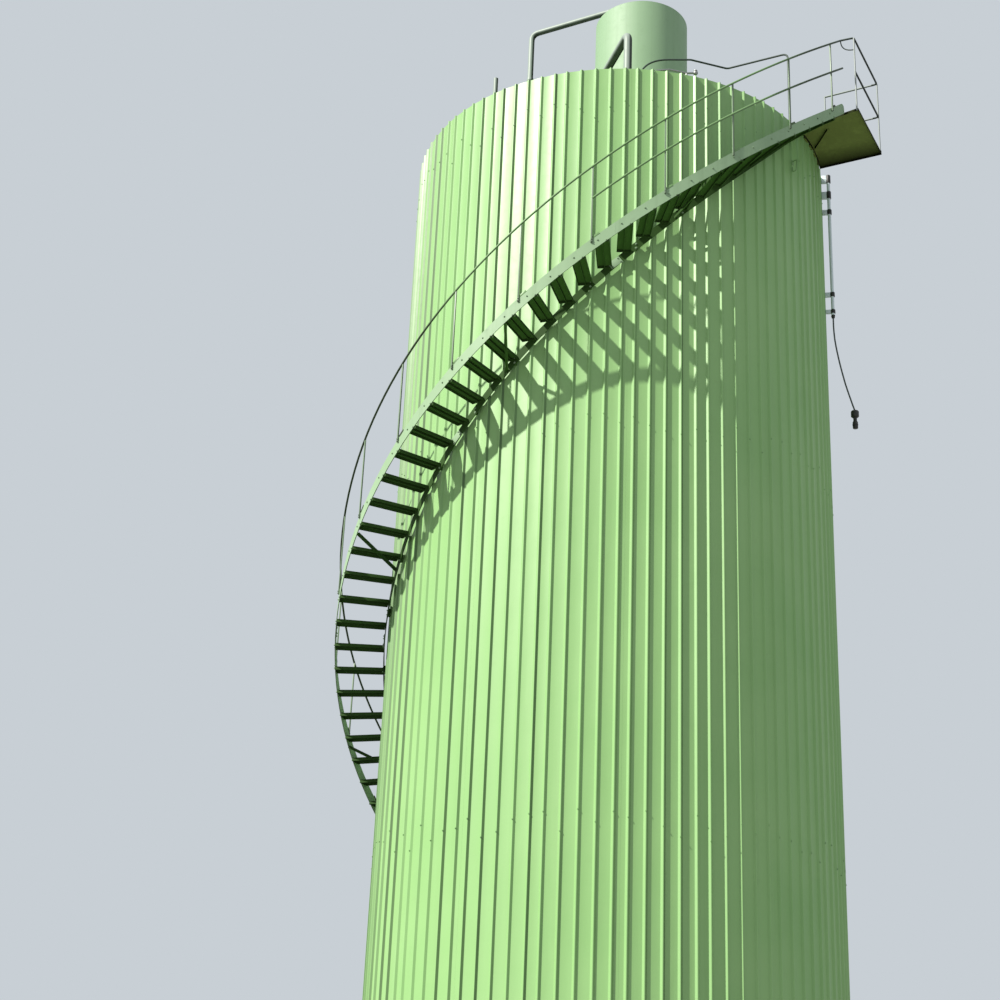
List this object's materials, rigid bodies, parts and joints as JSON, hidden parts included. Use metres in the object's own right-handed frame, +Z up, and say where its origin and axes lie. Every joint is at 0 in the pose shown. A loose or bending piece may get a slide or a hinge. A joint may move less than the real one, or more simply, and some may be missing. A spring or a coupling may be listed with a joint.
{
  "type": "vertical storage tank with spiral stair",
  "caption": "Tall round storage tank with vertical ribbed cladding, a small roof turret and a spiral stair that climbs its wall to a landing at the rim.",
  "frame": {"origin": "centre of the bottom plate's underside, on the ground", "axes": "+Z up the tank's axis, -Y the side with the stair's upper flights and the riser over the rim, +X the side with the landing"},
  "size_m": [7.4866, 7.4532, 19.3506],
  "materials": {
    "wall_paint": "pale green coated ribbed sheet, satin, dusty",
    "roof_paint": "pale green brushed paint, satin, weathered",
    "stair_paint": "green brushed paint over mild steel, worn at the edges",
    "pipe_paint": "pale green paint, satin",
    "bare_steel": "dull mill plate",
    "galvanised": "galvanised, spangled, dull",
    "cable_sheath": "grey cable sheath, matt",
    "fitting_housing": "dark moulded housing, matt"
  },
  "bodies": {
    "root": {"bottom_plate": "bare_steel", "cable_fitting": "fitting_housing", "cladding_panel_01": "wall_paint", "cladding_panel_02": "wall_paint", "cladding_panel_03": "wall_paint", "cladding_panel_04": "wall_paint", "cladding_panel_05": "wall_paint", "cladding_panel_06": "wall_paint", "cladding_panel_07": "wall_paint", "cladding_panel_08": "wall_paint", "cladding_panel_09": "wall_paint", "cladding_panel_10": "wall_paint", "girt_ring_1": "galvanised", "girt_ring_2": "galvanised", "girt_ring_3": "galvanised", "girt_ring_4": "galvanised", "gooseneck_pipe": "pipe_paint", "hanging_cable": "cable_sheath", "inner_shell": "bare_steel", "landing_deck": "stair_paint", "landing_rail": "stair_paint", "rim_pipe": "galvanised", "roof_guard_rail": "stair_paint", "roof_plate": "roof_paint", "stair_flight_1": "stair_paint", "stair_flight_2": "stair_paint", "stair_flight_3": "stair_paint", "stair_flight_4": "stair_paint", "stair_flight_5": "stair_paint", "stair_flight_6": "stair_paint", "stair_flight_7": "stair_paint", "stair_rail_1": "stair_paint", "stair_rail_2": "stair_paint", "stair_rail_3": "stair_paint", "stair_rail_4": "stair_paint", "stub_pipe": "pipe_paint", "turret_cap": "roof_paint", "turret_curb": "roof_paint", "turret_shell": "roof_paint", "turret_vent_pipe": "pipe_paint", "wall_conduit": "galvanised"}
  },
  "joints": []
}
